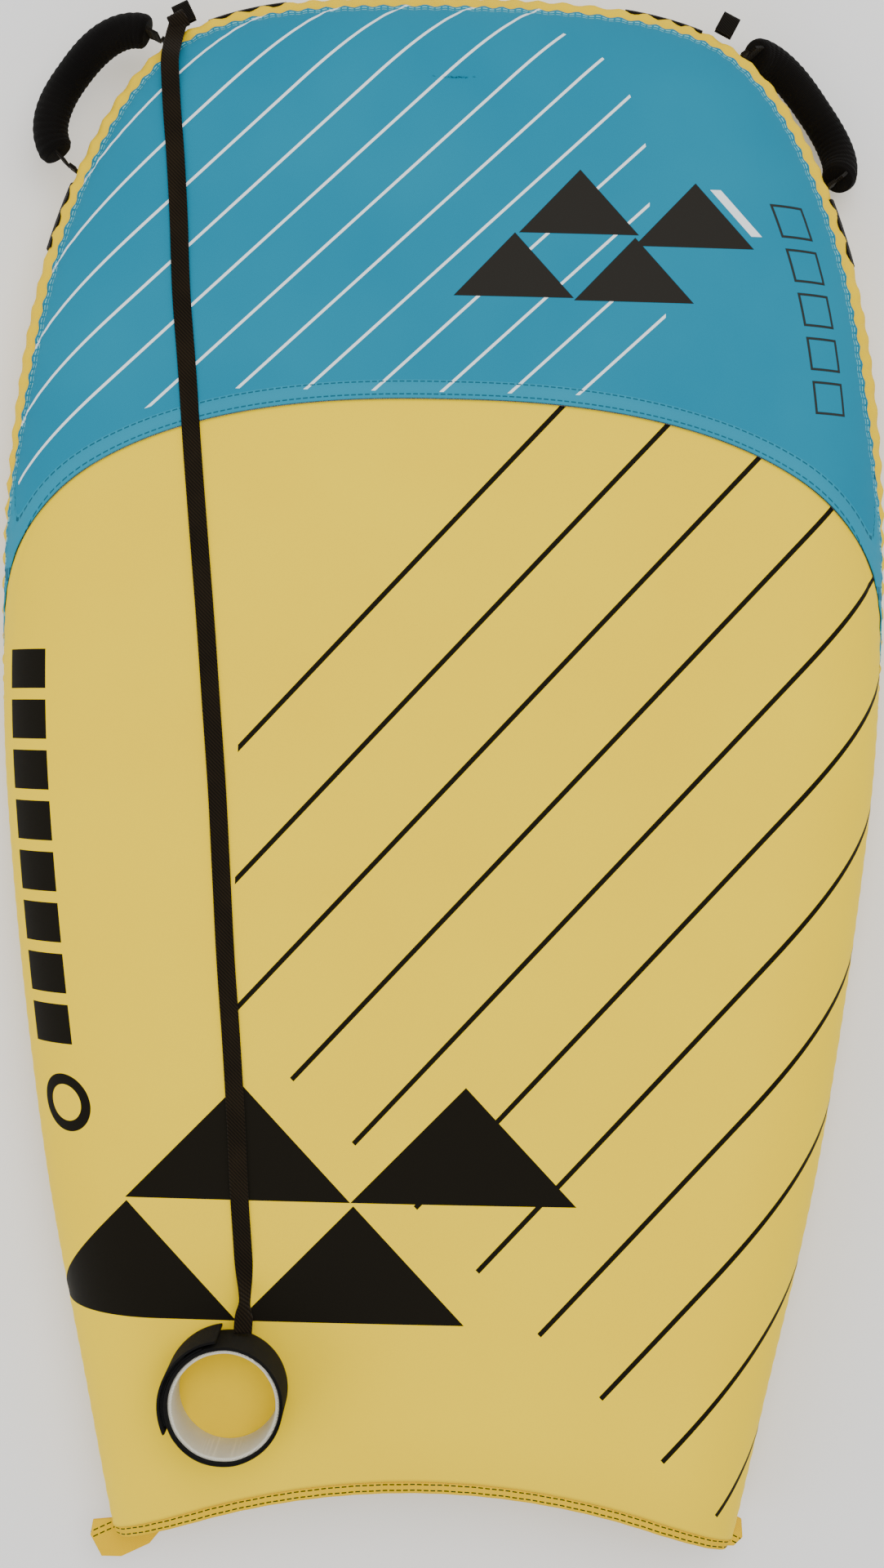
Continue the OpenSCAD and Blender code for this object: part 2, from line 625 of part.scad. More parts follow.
// Height of the deck's outer face above any point within the outline
function top_z(x, y) =
    let (d = min([for (q = outline) norm([abs(x), y] - q)]),
        rise = d < rail_round ? sqrt(1 - pow((rail_round - d) / rail_round, 2)) : 1)
    mid_z(y) + (half_thick(y) + crown(x, y) - tail_dip(x, y)) * rise;

// Middle line of the leash from the knot at the left grip back to the cuff: x, y and height above the deck
leash_plan = [[-188, 478, 8], [-187, 462, 4.5], [-185, 440, 2.6], [-182, 410, 1.8], [-179, 370, 1.4],
    [-176, 320, 1.2], [-171, 270, 1.2], [-166, 215, 1.2], [-160, 155, 1.2], [-155, 105, 1.2], [-150, 50, 1.2],
    [-145, -5, 1.2], [-141, -60, 1.2], [-137, -115, 1.2], [-132, -170, 1.2], [-128, -220, 1.2],
    [-125, -265, 1.2], [-122, -300, 1.2], [-120, -322, 3], [-119, -338, 9], [-119, -348, 15], [-119, -355.2, 20]];
leash_route = concat([[-185, 505, grip_z + 22], [-187, 494, grip_z + 26]],
    [for (q = leash_plan) [q[0], q[1], top_z(q[0], q[1]) + q[2]]]);

function leash_tangent(i) =
    unit(leash_route[min(i + 1, len(leash_route) - 1)] - leash_route[max(i - 1, 0)]);

module leash_strap() {
    n = len(leash_route);
    hw = leash_w / 2;
    ht = leash_t / 2;
    section = [[hw - 0.6, ht], [-hw + 0.6, ht], [-hw, 0], [-hw + 0.6, -ht], [hw - 0.6, -ht], [hw, 0]];
    color("black")
    loft([for (i = [0 : n - 1])
        let (d = leash_tangent(i), side = unit(cross(d, [0, 0, 1])), up = cross(side, d))
        [for (q = section) leash_route[i] + side * q[0] + up * q[1]]]);
}

module leash_knot() {
    color("black")
    translate([-185, 507, grip_z + 20.3])
    rotate([0, 0, 35])
        cube([14, 7, 9], center = true);
}

cuff_at = [-128, -395];
cuff_z = deck_pt(-88, -355, 0)[2] + 0.8;
module at_cuff() { translate([cuff_at[0], cuff_at[1], cuff_z]) children(); }

module ring_arc(r0, r1, h, from, to) {
    rotate([0, 0, from]) rotate_extrude(angle = to - from, $fn = 96) translate([r0, 0]) square([r1 - r0, h]);
}

module cuff_lining() {
    color("white") at_cuff() difference() {
        cylinder(r = cuff_r + 2.6, h = cuff_h - 4);
        translate([0, 0, -1]) cylinder(r = cuff_r, h = cuff_h + 2);
    }
}
module cuff_band() {
    color("black") at_cuff() difference() {
        cylinder(r = cuff_r + 4.9, h = cuff_h);
        translate([0, 0, -1]) cylinder(r = cuff_r + 2.9, h = cuff_h + 2);
    }
}
flap_from = 98;
flap_to = 206;
module cuff_loop_patch() {
    color("black") at_cuff() translate([0, 0, 2]) ring_arc(cuff_r + 5.2, cuff_r + 6.2, cuff_h - 4, 112, 200);
}
module cuff_hook_patch() {
    color("black") at_cuff() translate([0, 0, 3]) ring_arc(cuff_r + 6.5, cuff_r + 7.3, cuff_h - 6, 130, 200);
}
module cuff_flap() {
    color("black") at_cuff() ring_arc(cuff_r + 7.6, cuff_r + 9.2, cuff_h, flap_from, flap_to);
}

deck_panel();
nose_panel();
side_panel();
bottom_panel();
tail_panel();
tail_binding_upper();
tail_binding_lower();
tail_ear_left();
tail_ear_right();
valve_port_ring();
bladder_top_film();
bladder_bottom_film();
bladder_tail_film();
bladder_webs();
valve_base();
valve_seal();
valve_insert();
valve_membrane();
valve_cap();
valve_tether();
zip_tape_upper();
zip_tape_lower();
zip_teeth_upper();
zip_teeth_lower();
zip_end_stops();
zip_slider();
zip_puller();
left_anchor_webbing();
left_grip_webbing();
left_grip_pad();
left_grip_sleeve();
left_leash_tab();
right_anchor_webbing();
right_grip_webbing();
right_grip_pad();
right_grip_sleeve();
right_leash_tab();
leash_strap();
leash_knot();
cuff_band();
cuff_lining();
cuff_loop_patch();
cuff_hook_patch();
cuff_flap();
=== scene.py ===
import math

import bmesh
import bpy
import numpy as np
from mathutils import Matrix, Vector


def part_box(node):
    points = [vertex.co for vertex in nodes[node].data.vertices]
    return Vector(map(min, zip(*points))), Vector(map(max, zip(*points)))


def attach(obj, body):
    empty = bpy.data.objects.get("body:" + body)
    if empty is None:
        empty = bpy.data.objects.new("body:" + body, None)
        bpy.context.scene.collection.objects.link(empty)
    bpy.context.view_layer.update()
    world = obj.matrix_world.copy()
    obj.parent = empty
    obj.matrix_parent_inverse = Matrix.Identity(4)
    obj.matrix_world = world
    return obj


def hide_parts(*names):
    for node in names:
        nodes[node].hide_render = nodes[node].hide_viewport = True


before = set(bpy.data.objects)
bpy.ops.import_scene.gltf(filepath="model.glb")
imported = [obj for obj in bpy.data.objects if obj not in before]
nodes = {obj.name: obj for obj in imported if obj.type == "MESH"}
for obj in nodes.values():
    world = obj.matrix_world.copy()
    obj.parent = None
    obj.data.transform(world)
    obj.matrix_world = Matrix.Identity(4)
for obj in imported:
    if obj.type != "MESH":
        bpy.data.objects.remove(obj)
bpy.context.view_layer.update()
MM = 0.001

# ---- Sizes, all in millimetres, from the frame -----------------------------------------------------------

deck_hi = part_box("deck_panel")[1] / MM
side_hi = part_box("side_panel")[1] / MM
HALF_W = round(side_hi.x)
HALF_L = round(side_hi.y / 5) * 5
RAIL_H = 100.0
HALF_H = RAIL_H / 2
CROWN = deck_hi.z - RAIL_H
RAIL_ROUND = 64.0
KEEL_ROUND = 50.0
NOSE_LIFT = 18.0
NOSE_THINNING = 16.0
TAIL_R = 505.0
TAIL_Y = -HALF_L + 72.0
TAIL_C = TAIL_Y - TAIL_R
TAIL_DIP, TAIL_DIP_REACH = 8, 40
HEM_Y = round(deck_hi.y)
HEM_FALL = 165.0
SEAM_LOW, SEAM_HIGH, KEEL_SEAM = -8.0, 30.0, -52.0
SEAM_TURN, SEAM_TURN_LENGTH = 430, 270

# ---- The board's shape -----------------------------------------------------------------------------------

OUTLINE_SHARES = [(0, 1), (0.47, 0.98), (0.72, 0.9), (0.897, 0.71), (0.983, 0.47), (1, 0.15),
                  (0.97, -0.11), (0.882, -0.48), (0.768, -0.79), (0.69, -1), (0.62, -1.2)]


def catmull(p, q, r, s, u):
    square = 2 * p - 5 * q + 4 * r - s
    cube = 3 * q - p - 3 * r + s
    return 0.5 * (2 * q + (r - p) * u + square * u**2 + cube * u**3)


def make_outline(steps=24):
    pts = [np.array(p, float) for p in OUTLINE_SHARES]
    pts = [pts[1] * (-1, 1)] + pts + [pts[-1]]
    line = [catmull(*pts[i:i + 4], k / steps) for i in range(len(pts) - 3) for k in range(steps)]
    line = np.array(line) * (HALF_W, HALF_L)
    along = np.concatenate([[0], np.cumsum(np.linalg.norm(np.diff(line, axis=0), axis=1))])
    return line, along


OUTLINE, OUTLINE_S = make_outline()
TOP_S = OUTLINE_S[-1] - 6


def edge_pt(s):
    """Point of the outline at a distance from the nose, positive to the right."""
    a = np.abs(s)
    x = np.sign(s) * np.interp(a, OUTLINE_S, OUTLINE[:, 0])
    return np.stack([x, np.interp(a, OUTLINE_S, OUTLINE[:, 1])], -1)


def inward(s):
    d = edge_pt(s + 4) - edge_pt(s - 4)
    n = np.stack([d[..., 1], -d[..., 0]], -1)
    return n / np.linalg.norm(n, axis=-1, keepdims=True)


def ramp(u):
    c = np.clip(u, 0, 1)
    return c * c * (3 - 2 * c)


def nose_share(y):
    return np.clip((y - 0.28 * HALF_L) / (0.72 * HALF_L), 0, 1)


def half_thick(y):
    return HALF_H - NOSE_THINNING / 2 * ramp(nose_share(y))


def lift(y):
    return NOSE_LIFT * nose_share(y) ** 2


def mid_z(y):
    return half_thick(y) + lift(y)


def crown(x, y):
    return CROWN * np.maximum(0, 1 - (x / (HALF_W + 3)) ** 2) * (1 - (y / (HALF_L + 30)) ** 4)


def tail_edge_y(x, ahead=0):
    return TAIL_C + np.sqrt((TAIL_R + ahead) ** 2 - x * x)


def tail_dip(x, y):
    return TAIL_DIP * (1 - np.clip((y - tail_edge_y(x)) / TAIL_DIP_REACH, 0, 1)) ** 2


def hem_edge_y(x):
    share = np.maximum(0, 1 - np.minimum(np.abs(x) / HALF_W, 1) ** 2.4)
    return HEM_Y - HEM_FALL * (1 - share ** (1 / 2.4))


def rail_pt(s, t, o=0.0):
    """Point of the cover at outline distance s and rail angle t (90 on the deck), o inside the face."""
    a = np.where(t >= 0, RAIL_ROUND, KEEL_ROUND)
    rad = np.radians(t)
    p = edge_pt(s) + inward(s) * (a - (a - o) * np.cos(rad))[..., None]
    x, y = p[..., 0], p[..., 1]
    h = half_thick(y) + np.where(t >= 0, crown(x, y) - tail_dip(x, y), -tail_dip(x, y) / 2)
    return np.stack([x, y, mid_z(y) + (h - o) * np.sin(rad)], -1)


def deck_z(x, y):
    return mid_z(y) + half_thick(y) + crown(x, y) - tail_dip(x, y)


def top_z(x, y):
    """Height of the deck's outer face above any point within the outline."""
    d = np.min(np.linalg.norm(np.array([abs(x), y]) - OUTLINE, axis=1))
    rise = math.sqrt(1 - ((RAIL_ROUND - d) / RAIL_ROUND) ** 2) if d < RAIL_ROUND else 1
    return float(mid_z(y) + (half_thick(y) + crown(x, y) - tail_dip(x, y)) * rise)


def seam_t(s):
    """Rail angle of the upper side seam, which drops behind the grips."""
    return SEAM_HIGH + (SEAM_LOW - SEAM_HIGH) * ramp((np.abs(s) - SEAM_TURN) / SEAM_TURN_LENGTH)


ARC_T = np.linspace(90, -90, 181)
RAIL_FALL = 54
ARC_RAD = np.radians(ARC_T)
ARC_STEP = np.hypot(RAIL_ROUND * np.sin(ARC_RAD), RAIL_FALL * np.cos(ARC_RAD)) * math.radians(1)
ARC_L = np.cumsum(ARC_STEP) - ARC_STEP[0]


def arc_out(t):
    """Fabric length from the flat deck down the rail to rail angle t."""
    return np.interp(-t, -ARC_T, ARC_L)


def crossing(t_of_s, edge, ahead=0.0):
    """Distance along the outline at which a line on the rail meets the tail's or the hem's edge."""
    lo, hi = 60.0, TOP_S
    for _ in range(30):
        m = (lo + hi) / 2
        p = rail_pt(np.array(m), np.array(t_of_s(m)))
        limit = tail_edge_y(p[0], ahead) if edge == "tail" else hem_edge_y(p[0]) + ahead
        lo, hi = (m, hi) if p[1] > limit else (lo, m)
    return lo


FAR_FROM_SEAM = 200


def panel(rows, rings, cols, start, end):
    """Points of a top panel in rows from its start edge to its end edge, with the flat cut's coordinates."""
    def t_at(k, s):
        return (seam_t(s) + 0.5) * (1 - k) + 90 * k

    ks = np.linspace(0, 1, rings + 1)
    sa = np.array([crossing(lambda m, k=k: t_at(k, m), start) for k in ks])
    sb = np.array([crossing(lambda m, k=k: t_at(k, m), end, -0.5) if end == "hem" else 0.0 for k in ks])
    u = np.linspace(0, 1, rows + 1)[:, None]
    s = sa * (1 - u) + sb * u
    t = t_at(ks, s)
    right = rail_pt(s, t)
    out = arc_out(t)
    flat_right = rail_pt(s, np.full_like(t, 90.0))[..., :2] - inward(s) * out[..., None]
    seam_gap = arc_out(t_at(0, s)) - out
    corner = right[:, -1]
    c = np.linspace(0, 1, cols + 1)[1:-1]
    x = corner[:, 0:1] * (2 * c - 1)
    tail = tail_edge_y(x) - tail_edge_y(corner[:, 0:1])
    hem = hem_edge_y(x) - hem_edge_y(corner[:, 0:1])
    rise = tail * (1 - u) + hem * u if start == "tail" else hem * (1 - u) ** 3
    y = corner[:, 1:2] + rise
    inner = np.stack([x, y, deck_z(x, y)], -1)
    flip = np.array([-1, 1, 1])
    grid = np.concatenate([right * flip, inner, right[:, ::-1]], 1)
    flat = np.concatenate([flat_right * flip[:2], inner[..., :2], flat_right[:, ::-1]], 1)
    zero = np.zeros_like(x)
    beyond = np.concatenate([out, zero, out[:, ::-1]], 1)
    gap = np.concatenate([seam_gap, zero + FAR_FROM_SEAM, seam_gap[:, ::-1]], 1)
    run = np.concatenate([-s, zero, s[:, ::-1]], 1)
    return grid, flat, beyond, gap, run


def hem_gap(flat):
    x = np.clip(flat[..., 0], -HALF_W + 1, HALF_W - 1)
    slope = (hem_edge_y(x + 0.5) - hem_edge_y(x - 0.5))
    return (flat[..., 1] - hem_edge_y(x)) / np.sqrt(1 + slope**2)


# ---- Mesh helpers ----------------------------------------------------------------------------------------

def new_mesh(name, verts, faces):
    mesh = bpy.data.meshes.new(name)
    mesh.from_pydata((np.asarray(verts).reshape(-1, 3) * MM).tolist(), [], faces)
    mesh.validate()
    obj = bpy.data.objects.new(name, mesh)
    bpy.context.scene.collection.objects.link(obj)
    mesh.polygons.foreach_set("use_smooth", [True] * len(mesh.polygons))
    return obj


def weld(obj):
    """Joins points that lie on each other, so that the shading runs on across them."""
    bm = bmesh.new()
    bm.from_mesh(obj.data)
    bmesh.ops.remove_doubles(bm, verts=bm.verts, dist=0.00002)
    bm.to_mesh(obj.data)
    bm.free()


def attribute(obj, name, values):
    attr = obj.data.attributes.new(name, "FLOAT_VECTOR", "POINT")
    attr.data.foreach_set("vector", np.asarray(values, np.float32).reshape(-1))


def grid_faces(m, n, wrap=False):
    """Four-sided faces between m rows of n points."""
    last = n if wrap else n - 1
    return [(i * n + j, i * n + (j + 1) % n, (i + 1) * n + (j + 1) % n, (i + 1) * n + j)
            for i in range(m - 1) for j in range(last)]


def normals(grid):
    du = np.gradient(grid, axis=0)
    dv = np.gradient(grid, axis=1)
    n = np.cross(dv, du)
    size = np.linalg.norm(n, axis=-1, keepdims=True)
    return n / np.maximum(size, 1e-9)


def smooth_noise(a, b, seed):
    """Sum of a few sines at fixed odd angles: a repeatable soft ripple."""
    rng = np.random.default_rng(seed)
    total = 0
    for _ in range(6):
        ka, kb, ph = rng.uniform(-1, 1), rng.uniform(-1, 1), rng.uniform(0, 6.3)
        total = total + np.sin(ka * a + kb * b + ph)
    return total / 6


def solidify(obj, thickness):
    mod = obj.modifiers.new("thickness", "SOLIDIFY")
    mod.thickness = thickness * MM
    mod.offset = -1


def frames(path):
    d = np.gradient(path, axis=0)
    return d / np.linalg.norm(d, axis=1, keepdims=True)


def sweep(name, path, side, up, section, closed=False):
    """Strip of a fixed section along a path; side and up are the section's axes at each point."""
    section = np.asarray(section)
    if section.ndim == 2:
        section = np.repeat(section[None], len(path), 0)
    rings = path[:, None] + side[:, None] * section[..., 0:1] + up[:, None] * section[..., 1:2]
    m, n = rings.shape[:2]
    faces = grid_faces(m, n, wrap=True)
    if closed:
        faces += [((m - 1) * n + j, (m - 1) * n + (j + 1) % n, (j + 1) % n, j) for j in range(n)]
    else:
        faces += [tuple(range(n))[::-1], tuple(range((m - 1) * n, m * n))]
    return new_mesh(name, rings, faces)


def resample(points, step):
    """Even points at about a step along a smooth curve through the given points, and the curve's length."""
    pts = np.array(points, float)
    ext = np.vstack([2 * pts[0] - pts[1], pts, 2 * pts[-1] - pts[-2]])
    shares = np.arange(20) / 20
    fine = np.array([catmull(*ext[i:i + 4], u) for i in range(len(pts) - 1) for u in shares] + [pts[-1]])
    along = np.concatenate([[0], np.cumsum(np.linalg.norm(np.diff(fine, axis=0), axis=1))])
    want = np.linspace(0, along[-1], max(2, int(along[-1] / step)))
    return np.stack([np.interp(want, along, fine[:, i]) for i in range(3)], -1), along[-1]


# ---- Node materials --------------------------------------------------------------------------------------

CLOTH_ROUGHNESS = 0.6
CLOTH_SPECULAR, HARD_SPECULAR = 0.04, 0.35


class Mat:
    """A node material, with short calls for the maths that draws prints and stitches."""

    def __init__(self, name, rough=0.7, sheen=0.0, metal=0.0):
        self.mat = bpy.data.materials.new(name)
        self.mat.use_nodes = True
        self.tree = self.mat.node_tree
        self.bsdf = self.tree.nodes["Principled BSDF"]
        self.bsdf.inputs["Roughness"].default_value = rough
        self.bsdf.inputs["Metallic"].default_value = metal
        self.bsdf.inputs["Sheen Weight"].default_value = sheen
        specular = CLOTH_SPECULAR if rough > CLOTH_ROUGHNESS else HARD_SPECULAR
        self.bsdf.inputs["Specular IOR Level"].default_value = specular

    def node(self, kind, **values):
        n = self.tree.nodes.new(kind)
        for key, value in values.items():
            setattr(n, key, value)
        return n

    def put(self, socket, value):
        if isinstance(value, bpy.types.NodeSocket):
            self.tree.links.new(value, socket)
        else:
            socket.default_value = value

    def m(self, op, a, b=0.0, c=0.0):
        n = self.node("ShaderNodeMath", operation=op)
        for socket, value in zip(n.inputs, (a, b, c)):
            self.put(socket, value)
        return n.outputs[0]

    def attr(self, name):
        sep = self.node("ShaderNodeSeparateXYZ")
        self.put(sep.inputs[0], self.node("ShaderNodeAttribute", attribute_name=name).outputs["Vector"])
        return sep.outputs

    def noise(self, scale):
        n = self.node("ShaderNodeTexNoise")
        n.inputs["Scale"].default_value = scale
        n.inputs["Detail"].default_value = 3.0
        self.put(n.inputs["Vector"], self.node("ShaderNodeTexCoord").outputs["Object"])
        return n.outputs["Fac"]

    def mix(self, fac, a, b):
        n = self.node("ShaderNodeMix", data_type="RGBA")
        self.put(n.inputs[0], fac)
        self.put(n.inputs[6], a)
        self.put(n.inputs[7], b)
        return n.outputs[2]

    def band(self, value, centre, half):
        return self.m("COMPARE", value, centre, half)

    def every(self, value, first, pitch, half):
        """1 within half of first, first + pitch, first + 2 pitch and so on."""
        shifted = self.m("ADD", self.m("SUBTRACT", value, first), pitch / 2)
        return self.band(self.m("FLOORED_MODULO", shifted, pitch), pitch / 2, half)

    def between(self, value, low, high):
        return self.m("MULTIPLY", self.m("GREATER_THAN", value, low), self.m("LESS_THAN", value, high))

    def all(self, *masks):
        total = masks[0]
        for mask in masks[1:]:
            total = self.m("MULTIPLY", total, mask)
        return total

    def any(self, *masks):
        total = masks[0]
        for mask in masks[1:]:
            total = self.m("MAXIMUM", total, mask)
        return total

    def triangle(self, u, v, cx, top, height, half):
        """1 inside a triangle with its point up at (cx, top) and its base 2 * half wide."""
        down = self.m("SUBTRACT", top, v)
        side = self.m("ABSOLUTE", self.m("SUBTRACT", u, cx))
        return self.all(self.between(down, 0.0, height),
                        self.m("LESS_THAN", side, self.m("MULTIPLY", down, half / height)))

    def bump(self, height, strength):
        n = self.node("ShaderNodeBump")
        n.inputs["Strength"].default_value = strength
        n.inputs["Distance"].default_value = MM
        self.put(n.inputs["Height"], height)
        self.put(self.bsdf.inputs["Normal"], n.outputs[0])

    def colour(self, value):
        self.put(self.bsdf.inputs["Base Color"], value)


def rgb(r, g, b):
    """sRGB 0-255 to a linear colour."""
    def linear(c):
        return c / 255 / 12.92 if c <= 10 else ((c / 255 + 0.055) / 1.055) ** 2.4

    return (linear(r), linear(g), linear(b), 1.0)


def weave(m, x, y, pitch):
    """Over-and-under threads at a pitch, from two coordinates in millimetres."""
    a = m.m("SINE", m.m("MULTIPLY", x, 2 * math.pi / pitch))
    b = m.m("SINE", m.m("MULTIPLY", y, 2 * math.pi / pitch))
    return m.m("MULTIPLY", a, b)


def cloth_base(m, dark, light, scale=9.0):
    """Broad, soft patches between two near colours."""
    return m.mix(m.m("MULTIPLY_ADD", m.noise(scale), 1.6, -0.3), dark, light)


STITCH, STITCH_GAP, THREAD_HALF = 3.2, 1.3, 0.45
HEM_ROWS = (2.6, 11.0)
SEAM_ROWS = (4.5, 8.0)
TAPE_ROWS = (1.6, 5.4)


def stitches(m, along, away, at):
    """A row of stitches at a distance from an edge."""
    dash = m.m("LESS_THAN", m.m("FLOORED_MODULO", along, STITCH + STITCH_GAP), STITCH)
    return m.all(m.band(away, at, THREAD_HALF), dash)


def cover_weave(m, u, v):
    m.bump(m.m("ADD", weave(m, u, v, 1.1), m.m("MULTIPLY", m.noise(60.0), 2.0)), 0.12)


def deck_material():
    """Yellow cloth with slanted stripes and four triangles; blocks and a ring lie on the left rail."""
    m = Mat("deck_cloth", rough=0.62, sheen=0.03)
    u, v, out = m.attr("flat")
    seam = m.attr("edges")[1]
    base = cloth_base(m, (0.97, 0.66, 0.0, 1.0), (1.0, 0.71, 0.0, 1.0))
    f = m.m("SUBTRACT", v, m.m("MULTIPLY", u, 1.10))
    start = m.m("MAXIMUM", m.m("MULTIPLY_ADD", f, -0.478, -136.0), -132.0)
    stripe = m.all(m.every(f, -265.0, 86.5, 2.5), m.m("GREATER_THAN", u, start), m.m("LESS_THAN", f, 215.0))
    marks = [stripe]
    for cx, top in ((-126.0, -196.0), (22.0, -196.0), (-199.0, -275.0), (-50.0, -275.0)):
        marks.append(m.triangle(u, v, cx, top, 77.0, 74.0))
    left = m.m("LESS_THAN", u, 0.0)
    along = m.every(v, -162.0, 33.5, 13.0)
    block = m.all(left, m.between(out, 29.0, 62.0), m.between(v, -178.0, 88.0), along)
    ring_x = m.m("SUBTRACT", out, 40.0)
    ring_y = m.m("SUBTRACT", v, -214.0)
    ring_r = m.m("SQRT", m.m("ADD", m.m("POWER", ring_x, 2.0), m.m("POWER", ring_y, 2.0)))
    ring = m.all(left, m.between(ring_r, 12.0, 19.0))
    marks += [block, ring]
    printed = m.mix(m.any(*marks), base, rgb(22, 19, 12))
    thread = stitches(m, v, seam, SEAM_ROWS[0])
    m.colour(m.mix(thread, printed, rgb(214, 186, 60)))
    cover_weave(m, u, v)
    return m.mat


def nose_material():
    """Blue cloth with fine slanted stripes, four small triangles, a bar and a row of outlined squares."""
    m = Mat("nose_cloth", rough=0.62, sheen=0.03)
    u, v, out = m.attr("flat")
    hem, seam, run = m.attr("edges")
    base = cloth_base(m, (0.004, 0.19, 0.31, 1.0), (0.008, 0.225, 0.345, 1.0))
    base = m.mix(m.m("MULTIPLY", m.m("LESS_THAN", hem, 12.0), 0.25), base, (0.05, 0.38, 0.52, 1.0))
    f = m.m("SUBTRACT", v, m.m("MULTIPLY", u, 0.95))
    bend = m.m("MULTIPLY", m.m("SUBTRACT", f, 263.0), 1 / 167)
    lean = m.m("MULTIPLY_ADD", m.m("POWER", bend, 2.0), -57.0, 130.0)
    end = m.m("MAXIMUM", lean, m.m("MULTIPLY", m.m("LESS_THAN", f, 200.0), 142.0))
    end = m.m("MAXIMUM", end, m.m("MULTIPLY", m.m("GREATER_THAN", f, 450.0), 400.0))
    low = m.m("GREATER_THAN", v, m.m("MINIMUM", 258.0, m.m("ADD", m.m("SUBTRACT", v, hem), 18.0)))
    stripe = m.all(m.every(f, 431.0, 42.3, 1.3), m.m("LESS_THAN", u, end), low, m.m("GREATER_THAN", f, 160.0))
    tris = [m.triangle(u, v, cx, top, 42.5, 39.5)
            for cx, top in ((84.0, 407.0), (42.0, 364.5), (121.0, 363.0), (160.0, 400.0))]
    right = m.m("GREATER_THAN", u, 100.0)
    cell = m.m("SUBTRACT", m.m("FLOORED_MODULO", m.m("SUBTRACT", v, 247.0), 29.0), 14.5)
    shape = m.m("MAXIMUM", m.m("ABSOLUTE", cell), m.m("ABSOLUTE", m.m("SUBTRACT", out, 26.0)))
    outlines = m.all(right, m.between(v, 247.0, 392.0), m.between(shape, 9.3, 11.0))
    slant = m.m("ADD", m.m("SUBTRACT", u, 160.0), m.m("MULTIPLY", m.m("SUBTRACT", v, 400.0), 39.5 / 42.5))
    bar = m.all(m.between(slant, 6.0, 13.0), m.between(v, 366.0, 396.0), right)
    printed = m.mix(stripe, base, rgb(232, 244, 246))
    printed = m.mix(m.any(*tris), printed, rgb(40, 38, 34))
    printed = m.mix(outlines, printed, rgb(46, 50, 48))
    printed = m.mix(bar, printed, rgb(235, 244, 246))
    thread = m.any(*(stitches(m, u, hem, row) for row in HEM_ROWS))
    printed = m.mix(thread, printed, rgb(28, 92, 112))
    teal = m.any(*(stitches(m, run, seam, row) for row in SEAM_ROWS))
    m.colour(m.mix(teal, printed, rgb(122, 200, 208)))
    cover_weave(m, u, v)
    return m.mat


def position(m):
    """Place on the object, in millimetres."""
    co = m.node("ShaderNodeSeparateXYZ")
    m.put(co.inputs[0], m.node("ShaderNodeTexCoord").outputs["Object"])
    return [m.m("MULTIPLY", c, 1000.0) for c in co.outputs]


def tape_material():
    """Binding tape with two rows of dark stitches that follow the tail's curve."""
    m = Mat("binding_tape", rough=0.7)
    x, y, z = position(m)
    back = m.m("SUBTRACT", y, TAIL_C)
    radius = m.m("SQRT", m.m("ADD", m.m("MULTIPLY", x, x), m.m("MULTIPLY", back, back)))
    rows = m.any(*(stitches(m, x, radius, TAIL_R - row) for row in TAPE_ROWS))
    base = cloth_base(m, (0.80, 0.48, 0.0, 1.0), (0.90, 0.58, 0.0, 1.0))
    m.colour(m.mix(rows, base, rgb(52, 66, 22)))
    m.bump(m.m("ADD", weave(m, m.m("ADD", x, z), y, 1.6), m.noise(80.0)), 0.4)
    return m.mat


def plain_cloth(name, dark, light, pitch=1.2, rough=0.7, depth=0.2):
    m = Mat(name, rough=rough, sheen=0.024)
    m.colour(cloth_base(m, dark, light, 14.0))
    x, y, z = position(m)
    m.bump(m.m("ADD", weave(m, m.m("ADD", x, z), y, pitch), m.noise(80.0)), depth)
    return m.mat


def webbing_material(name, dark, light, pitch=1.8):
    """Ribs across the strap, with a fine twill."""
    m = Mat(name, rough=0.8, sheen=0.05)
    x, y, z = position(m)
    rib = m.m("SINE", m.m("MULTIPLY", m.m("ADD", x, y), 2 * math.pi / pitch))
    m.colour(m.mix(m.m("MULTIPLY_ADD", rib, 0.25, m.m("MULTIPLY", m.noise(40.0), 0.5)), dark, light))
    m.bump(m.m("ADD", rib, m.noise(120.0)), 0.35)
    return m.mat


def hard_material(name, dark, light, rough=0.4, metal=0.0, grain=90.0):
    m = Mat(name, rough=rough, metal=metal)
    m.colour(m.mix(m.noise(grain), dark, light))
    m.bump(m.noise(grain * 4), 0.05)
    return m.mat


YELLOW = plain_cloth("side_cloth", (0.90, 0.58, 0.0, 1.0), (0.96, 0.65, 0.0, 1.0))
TEAL = plain_cloth("bottom_cloth", rgb(12, 108, 112), rgb(22, 126, 128))
TAPE = tape_material()
BLACK_WEB = webbing_material("black_webbing", rgb(14, 12, 9), rgb(40, 35, 28))
LEASH_WEB = webbing_material("leash_webbing", rgb(16, 12, 7), rgb(48, 38, 24), 2.4)
SLEEVE = plain_cloth("grip_cloth", rgb(6, 5, 5), rgb(22, 20, 18), 1.4, rough=0.8, depth=0.4)
CUFF_OUT = plain_cloth("cuff_cloth", rgb(10, 10, 10), rgb(30, 29, 28), 1.0, rough=0.85, depth=0.4)
CUFF_IN = plain_cloth("cuff_plush", rgb(226, 220, 196), rgb(246, 242, 226), 1.5, rough=0.9, depth=0.6)
LOOPS = plain_cloth("fastener_loops", rgb(14, 14, 14), rgb(42, 42, 42), 0.8, rough=0.95, depth=0.8)
FOAM = plain_cloth("grip_foam", rgb(50, 50, 50), rgb(74, 74, 74), 0.9)
FILM = hard_material("bladder_film", rgb(196, 200, 204), rgb(218, 222, 226), 0.35, grain=12.0)
PLASTIC = hard_material("valve_plastic", rgb(52, 56, 60), rgb(72, 76, 80))
RUBBER = hard_material("black_rubber", rgb(20, 20, 20), rgb(34, 34, 34), 0.6)
PALE_RUBBER = hard_material("pale_rubber", rgb(214, 214, 208), rgb(232, 232, 226), 0.5)
